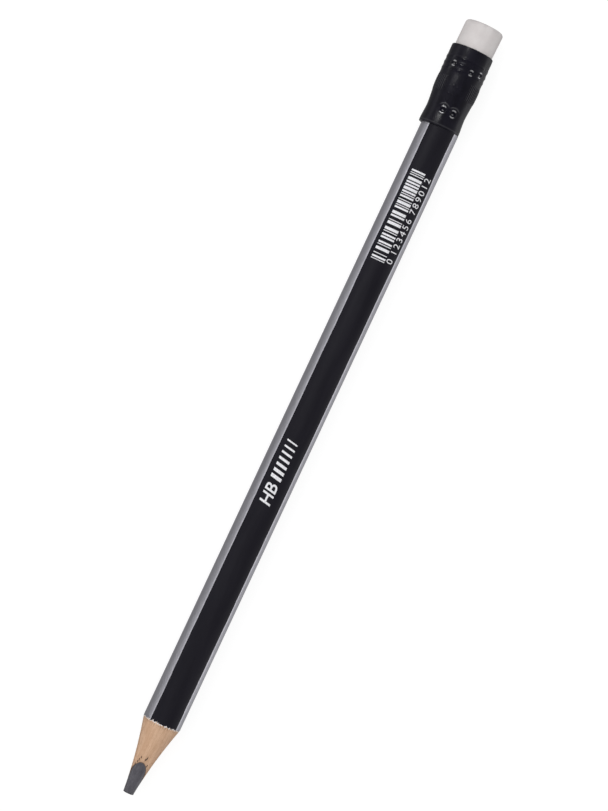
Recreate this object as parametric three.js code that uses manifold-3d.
// A round wood-cased graphite pencil with a crimped ferrule and an eraser, in millimetres, +Z up.
// The pencil lies along X with its point towards +X. The origin is under the middle of its length,
// on the surface that it lies on.
import * as THREE from "three";
import { mergeVertices } from "three/addons/utils/BufferGeometryUtils.js";
import Module from "manifold-3d";

const wasm = await Module();
wasm.setup();

// Driving dimensions
const totalLength = 175; // blunt point to eraser end
const barrelRadius = 4.12; // over the lacquer
const lacquerThickness = 0.08;
const fitGap = 0.02; // clearance between glued, coated or crimped neighbours
const pointRadius = 1.11; // flat blunt end of the sharpened point
const pointSlope = 0.0958; // hollow-ground point, s from its end: r = pointRadius + slope * s + curve * s * s
const pointCurve = 0.00556;
const leadRadius = 1.46;
const leadRise = 0.6; // the lead and the glue plane lie this far above the barrel's centre line
const eraserExposed = 5.8;
const eraserSeat = 7.6; // eraser length inside the ferrule
const eraserRadius = 4.17;
const eraserCorner = 0.8;
const eraserShift = 0.53; // off the barrel's centre line, to the -Y side
const ferruleLength = 17.4;
const ferruleWall = 0.3;
const ferruleShift = 0.47; // off the barrel's centre line, to the -Y side
const ferruleTilt = THREE.MathUtils.degToRad(0.8);
const hemLength = 1; // stiff lips at the ferrule's two rims
const hemBore = 3.86;
const rimBore = 4.27;
const tenonRadius = 3.74; // turned end of the wood inside the ferrule
const tenonLength = 8.6;
const beadHeight = 0.1;
const beadWidth = 1.25;
const beadPlaces = [12.1, 13.3, 14.6]; // from the ferrule's barrel-end rim
const dentDepth = 0.16;
const dentBall = 0.7; // radius of the punch
const upperDents = { place: 13, angles: [-35, 18.5, 47.5] }; // degrees from +Z to +Y
const lowerDents = { place: 3.5, angles: [-10.5, 21.5] };
const blackCentre = THREE.MathUtils.degToRad(6.3); // middle of the upper black stripe, from +Z to +Y
const blackWidth = THREE.MathUtils.degToRad(87.4);

// Skin of the ferrule under its beads, as [distance from the barrel-end rim, outer radius]
const ferruleStations = [
  [0, 4.36],
  [0.3, 4.44],
  [0.9, 4.44],
  [3.7, 4.24],
  [6.2, 4.42],
  [9.5, 4.65],
  [11, 4.57],
  [15, 4.57],
  [16.2, 4.6],
  [17, 4.58],
  [17.4, 4.4],
];

// Fineness of the facets
const barrelSides = 20;
const leadSides = 32;
const pointSteps = 9;
const ferruleSteps = 44;
const cornerSteps = 5;
const dentSides = 12;

// Places along the barrel
const pointX = totalLength / 2;
const eraserX = -totalLength / 2;
const ferruleX = eraserX + eraserExposed + ferruleLength; // the ferrule's barrel-end rim
const tenonX = ferruleX - tenonLength;
const woodRadius = barrelRadius - lacquerThickness - fitGap;

const materials = {
  blackLacquer: new THREE.MeshStandardMaterial({ color: 0x26252b, roughness: 0.45, metalness: 0 }),
  silverLacquer: new THREE.MeshStandardMaterial({ color: 0x9a9aa1, roughness: 0.4, metalness: 0.6 }),
  wood: new THREE.MeshStandardMaterial({ color: 0xdcb68f, roughness: 0.8, metalness: 0 }),
  graphite: new THREE.MeshStandardMaterial({ color: 0x55535a, roughness: 0.5, metalness: 0.3 }),
  ferrule: new THREE.MeshStandardMaterial({ color: 0x242328, roughness: 0.35, metalness: 0.5 }),
  eraser: new THREE.MeshStandardMaterial({ color: 0xe9e6e2, roughness: 0.85, metalness: 0 }),
};

// A closed geometry as a solid that can be cut and joined.
function solidOf(geometry) {
  const bare = geometry.clone();
  bare.deleteAttribute("normal");
  bare.deleteAttribute("uv");
  const merged = mergeVertices(bare, 1e-4);
  return new wasm.Manifold(
    new wasm.Mesh({
      numProp: 3,
      vertProperties: merged.attributes.position.array,
      triVerts: new Uint32Array(merged.index.array),
    }),
  );
}

function geometryOf(solid) {
  const mesh = solid.getMesh();
  const geometry = new THREE.BufferGeometry();
  geometry.setAttribute("position", new THREE.BufferAttribute(mesh.vertProperties, 3));
  geometry.setIndex(new THREE.BufferAttribute(mesh.triVerts, 1));
  geometry.computeVertexNormals();
  return geometry;
}

function piece(name, geometry, material) {
  const mesh = new THREE.Mesh(geometry, material);
  mesh.name = name;
  return mesh;
}

// A solid turned about the X axis, with a facet underneath and its facets a radius away from the axis.
// Its [x, radius] points run towards +X on the outside, and back towards -X in a bore.
function turned(profile, sides) {
  const corner = 1 / Math.cos(Math.PI / sides);
  const points = profile.map(([x, radius]) => new THREE.Vector2(radius * corner, x));
  return new THREE.LatheGeometry(points, sides, Math.PI / sides).rotateZ(-Math.PI / 2);
}

// The distance from the point's end at which the hollow-ground profile reaches a radius.
function grindReach(radius) {
  const root = Math.sqrt(pointSlope ** 2 + 4 * pointCurve * (radius - pointRadius));
  return (root - pointSlope) / (2 * pointCurve);
}

// A barrel of a given radius, from one X to the ground point.
function groundBarrel(radius, fromX) {
  const reach = grindReach(radius);
  const profile = [
    [fromX, 0],
    [fromX, radius],
  ];
  for (let step = pointSteps; step >= 0; step -= 1) {
    const s = (reach * step) / pointSteps;
    profile.push([pointX - s, pointRadius + pointSlope * s + pointCurve * s * s]);
  }
  profile.push([pointX, 0]);
  return solidOf(turned(profile, barrelSides));
}

function roundBar(radius, fromX, toX, sides) {
  const profile = [
    [fromX, 0],
    [fromX, radius],
    [toX, radius],
    [toX, 0],
  ];
  return turned(profile, sides);
}

function leadBar(radius, fromX, toX) {
  return solidOf(roundBar(radius, fromX, toX, leadSides).translate(0, 0, leadRise));
}

// Moves a geometry from the ferrule's own frame, with its barrel-end rim at X = 0, to the pencil's.
function crimpedOn(geometry) {
  return geometry
    .translate(ferruleLength / 2, 0, 0)
    .rotateZ(ferruleTilt)
    .translate(ferruleX - ferruleLength / 2, -ferruleShift, 0);
}

// The space beyond the shoulder, where the ferrule goes over the barrel.
function beyondShoulder() {
  const size = [2 * ferruleLength, 4 * barrelRadius, 4 * barrelRadius];
  return solidOf(crimpedOn(new THREE.BoxGeometry(...size).translate(fitGap - ferruleLength, 0, 0)));
}

function tenonBar() {
  return solidOf(crimpedOn(roundBar(tenonRadius, -2 * tenonLength, tenonLength, barrelSides)));
}

function slab(bottom, top) {
  const size = [2 * totalLength, 4 * barrelRadius, top - bottom];
  return solidOf(new THREE.BoxGeometry(...size).translate(0, 0, (top + bottom) / 2));
}

function makeSlats() {
  const groove = leadBar(leadRadius + fitGap, tenonX - 1, pointX + 1);
  const turnedOff = beyondShoulder().subtract(tenonBar());
  const blank = groundBarrel(woodRadius, tenonX).subtract(turnedOff).subtract(groove);
  const far = 2 * barrelRadius;
  const upper = blank.intersect(slab(leadRise + fitGap / 2, far));
  const lower = blank.intersect(slab(-far, leadRise - fitGap / 2));
  return [
    piece("wood_slat_upper", geometryOf(upper), materials.wood),
    piece("wood_slat_lower", geometryOf(lower), materials.wood),
  ];
}

function makeCore() {
  const bar = leadBar(leadRadius, tenonX, pointX + 1);
  const ground = bar.intersect(groundBarrel(barrelRadius, tenonX - 1));
  return piece("graphite_core", geometryOf(ground), materials.graphite);
}

// A three-sided bar from the centre line outwards, between two angles from +Y towards +Z.
function wedge(from, to) {
  const far = 2 * barrelRadius;
  const section = new THREE.Shape([
    new THREE.Vector2(0, 0),
    new THREE.Vector2(far * Math.cos(from), far * Math.sin(from)),
    new THREE.Vector2(far * Math.cos(to), far * Math.sin(to)),
  ]);
  const bar = new THREE.ExtrudeGeometry(section, { depth: totalLength, bevelEnabled: false });
  const sectionToBarrel = new THREE.Matrix4().makeBasis(
    new THREE.Vector3(0, 1, 0),
    new THREE.Vector3(0, 0, 1),
    new THREE.Vector3(1, 0, 0),
  );
  return solidOf(bar.applyMatrix4(sectionToBarrel).translate(tenonX, 0, 0));
}

// One lacquer stripe: part of a thin sleeve round the barrel, ground off along the point.
function makeStripe(name, centre, width, material) {
  const trim = fitGap / 2 / barrelRadius;
  const from = Math.PI / 2 - centre - width / 2 + trim;
  const to = Math.PI / 2 - centre + width / 2 - trim;
  const bore = roundBar(barrelRadius - lacquerThickness, tenonX - 1, pointX + 1, barrelSides);
  const sleeve = groundBarrel(barrelRadius, tenonX)
    .subtract(solidOf(bore))
    .subtract(beyondShoulder());
  return piece(name, geometryOf(sleeve.intersect(wedge(from, to))), material);
}

function makeLacquer() {
  const silverWidth = Math.PI - blackWidth;
  const quarter = Math.PI / 2;
  const { blackLacquer, silverLacquer } = materials;
  return [
    makeStripe("lacquer_black_upper", blackCentre, blackWidth, blackLacquer),
    makeStripe("lacquer_black_lower", blackCentre + Math.PI, blackWidth, blackLacquer),
    makeStripe("lacquer_silver_left", blackCentre - quarter, silverWidth, silverLacquer),
    makeStripe("lacquer_silver_right", blackCentre + quarter, silverWidth, silverLacquer),
  ];
}

// Outer radius of the ferrule without its beads, at a distance from its barrel-end rim.
function ferruleSkin(distance) {
  const next = Math.max(1, ferruleStations.findIndex(([place]) => place >= distance));
  const [place0, radius0] = ferruleStations[next - 1];
  const [place1, radius1] = ferruleStations[next];
  const share = THREE.MathUtils.smoothstep(distance, place0, place1);
  return THREE.MathUtils.lerp(radius0, radius1, share);
}

function beadRise(distance) {
  return beadPlaces.reduce((sum, place) => {
    const reach = Math.min(Math.abs(distance - place) / (beadWidth / 2), 1);
    return sum + (beadHeight * (1 + Math.cos(Math.PI * reach))) / 2;
  }, 0);
}

// A ring of punched dents on the upper side, and the same again on the far side.
function punch(solid, { place, angles }) {
  const bite = ferruleSkin(place) + dentBall - dentDepth;
  const turns = angles.flatMap((angle) => [angle, angle + 180]);
  return turns.reduce((left, angle) => {
    const ball = new THREE.SphereGeometry(dentBall, dentSides, dentSides / 2)
      .translate(-place, 0, bite)
      .rotateX(-THREE.MathUtils.degToRad(angle));
    return left.subtract(solidOf(ball));
  }, solid);
}

function makeFerrule() {
  const outer = [];
  for (let step = ferruleSteps; step >= 0; step -= 1) {
    const distance = (ferruleLength * step) / ferruleSteps;
    outer.push([-distance, ferruleSkin(distance) + beadRise(distance)]);
  }
  const bore = [[0, hemBore], [-hemLength, hemBore]];
  ferruleStations
    .filter(([place]) => place > hemLength && place < ferruleLength - hemLength)
    .forEach(([place, radius]) => bore.push([-place, radius - ferruleWall]));
  bore.push([-ferruleLength, rimBore]);
  const profile = [...outer, ...bore, outer[0]];
  const tube = punch(punch(solidOf(turned(profile, barrelSides)), upperDents), lowerDents);
  return piece("ferrule", crimpedOn(geometryOf(tube)), materials.ferrule);
}

function makeEraser() {
  const innerX = eraserX + eraserExposed + eraserSeat;
  const profile = [[eraserX, 0]];
  for (let step = 0; step <= cornerSteps; step += 1) {
    const angle = (Math.PI / 2) * (step / cornerSteps);
    const x = eraserX + eraserCorner * (1 - Math.cos(angle));
    profile.push([x, eraserRadius - eraserCorner * (1 - Math.sin(angle))]);
  }
  profile.push([innerX, eraserRadius], [innerX, 0]);
  const plug = turned(profile, barrelSides).translate(0, -eraserShift, 0);
  return piece("eraser", plug, materials.eraser);
}

// The pencil lies on the lowest facet of its middle bead.
const restRadius = ferruleSkin(beadPlaces[1]) + beadHeight;
const pencil = new THREE.Group();
pencil.add(makeCore(), ...makeSlats(), ...makeLacquer(), makeFerrule(), makeEraser());
pencil.position.z = restRadius;

const group = new THREE.Group();
group.add(pencil);

export default group;
